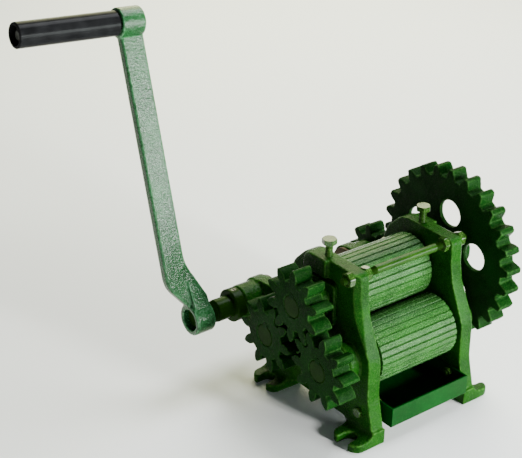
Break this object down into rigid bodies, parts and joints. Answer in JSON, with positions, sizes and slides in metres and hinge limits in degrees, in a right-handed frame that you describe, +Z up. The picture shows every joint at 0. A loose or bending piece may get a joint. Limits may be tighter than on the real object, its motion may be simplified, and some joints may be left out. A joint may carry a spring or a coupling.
{
  "type": "hand-cranked three-roller crushing mill",
  "caption": "Bench-mounted cast mill: a hand crank turns a geared train of fluted rollers that crush fruit or cane over a juice tray.",
  "frame": {"origin": "on the ground at the centre of the four-slot foot pattern, straight under the middle of the top roller", "axes": "+Z up, +X from the crank side to the big drive gear along the roller axes, +Y to the rear, where the crank shaft is"},
  "size_m": [0.4182, 0.3118, 0.4192],
  "materials": {
    "frame_paint": "gloss enamel over rough casting",
    "roller_paint": "gloss enamel over fluted casting",
    "gear_paint": "gloss enamel over rough casting",
    "lever_paint": "gloss enamel over rough casting",
    "shaft_paint": "gloss enamel over turned bar",
    "rod_paint": "gloss enamel over drawn bar",
    "sheet_paint": "gloss enamel over folded sheet",
    "hardware_paint": "thin enamel over zinc plate",
    "steel": "machined",
    "bronze": "turned",
    "grip_plastic": "moulded, polished by use"
  },
  "bodies": {
    "frame": {"left_side_plate": "frame_paint", "right_side_plate": "frame_paint", "left_front_bush": "bronze", "right_front_bush": "bronze", "left_rear_bush": "bronze", "right_rear_bush": "bronze", "left_crank_bush": "bronze", "right_crank_bush": "bronze", "front_upper_tie_rod": "rod_paint", "rear_upper_tie_rod": "rod_paint", "rear_lower_tie_rod": "rod_paint", "front_upper_tie_nuts": "hardware_paint", "rear_upper_tie_nuts": "hardware_paint", "rear_lower_tie_nuts": "hardware_paint", "juice_tray": "sheet_paint", "tray_bolts": "hardware_paint", "tray_nuts": "hardware_paint", "tray_spacers": "steel"},
    "top_bearings": {"left_bearing_block": "frame_paint", "right_bearing_block": "frame_paint", "left_top_bush": "bronze", "right_top_bush": "bronze"},
    "left_screw": {"left_pressure_bolt": "hardware_paint"},
    "right_screw": {"right_pressure_bolt": "hardware_paint"},
    "top_rotor": {"top_roller": "roller_paint", "top_roller_shaft": "shaft_paint", "top_roller_gear": "gear_paint", "top_thrust_ring": "steel", "top_shaft_keys": "gear_paint", "drive_gear": "gear_paint"},
    "front_rotor": {"front_roller": "roller_paint", "front_roller_shaft": "shaft_paint", "front_roller_gear": "gear_paint", "front_thrust_ring": "steel", "front_gear_key": "gear_paint"},
    "rear_rotor": {"rear_roller": "roller_paint", "rear_roller_shaft": "shaft_paint", "rear_roller_gear": "gear_paint", "rear_thrust_ring": "steel", "rear_gear_key": "gear_paint"},
    "crank": {"crank_shaft": "shaft_paint", "crank_pinion": "gear_paint", "pinion_key": "gear_paint", "shaft_collar": "shaft_paint", "collar_set_screw": "steel", "crank_arm": "lever_paint", "grip_spindle": "steel", "grip_washer": "steel", "grip_nut": "steel"},
    "grip": {"grip_sleeve": "grip_plastic"}
  },
  "joints": [
    {"name": "roller_lift", "type": "slide", "parent": "frame", "child": "top_bearings", "axis": [0, 0, 1], "range_m": [0, 0.001]},
    {"name": "left_screw_lift", "type": "slide", "parent": "frame", "child": "left_screw", "axis": [0, 0, 1], "range_m": [0, 0.001]},
    {"name": "right_screw_lift", "type": "slide", "parent": "frame", "child": "right_screw", "axis": [0, 0, 1], "range_m": [0, 0.001]},
    {"name": "top_roller_turn", "type": "hinge", "parent": "top_bearings", "child": "top_rotor", "pos_m": [0, 0, 0.139], "axis": [1, 0, 0], "continuous": true},
    {"name": "front_roller_turn", "type": "hinge", "parent": "frame", "child": "front_rotor", "pos_m": [0, -0.0433, 0.084], "axis": [1, 0, 0], "continuous": true},
    {"name": "rear_roller_turn", "type": "hinge", "parent": "frame", "child": "rear_rotor", "pos_m": [0, 0.0433, 0.084], "axis": [1, 0, 0], "continuous": true},
    {"name": "crank_turn", "type": "hinge", "parent": "frame", "child": "crank", "pos_m": [0, 0.11102, 0.08723], "axis": [1, 0, 0], "continuous": true},
    {"name": "grip_spin", "type": "hinge", "parent": "crank", "child": "grip", "pos_m": [-0.1708, 0.20086, 0.39644], "axis": [-0.9969, 0, 0.0785], "continuous": true}
  ],
  "couplings": [
    {"joint": "front_roller_turn", "follows": "top_roller_turn", "ratio": -1},
    {"joint": "rear_roller_turn", "follows": "top_roller_turn", "ratio": -1},
    {"joint": "crank_turn", "follows": "top_roller_turn", "ratio": -2.8889},
    {"joint": "left_screw_lift", "follows": "roller_lift", "ratio": 1},
    {"joint": "right_screw_lift", "follows": "roller_lift", "ratio": 1}
  ]
}
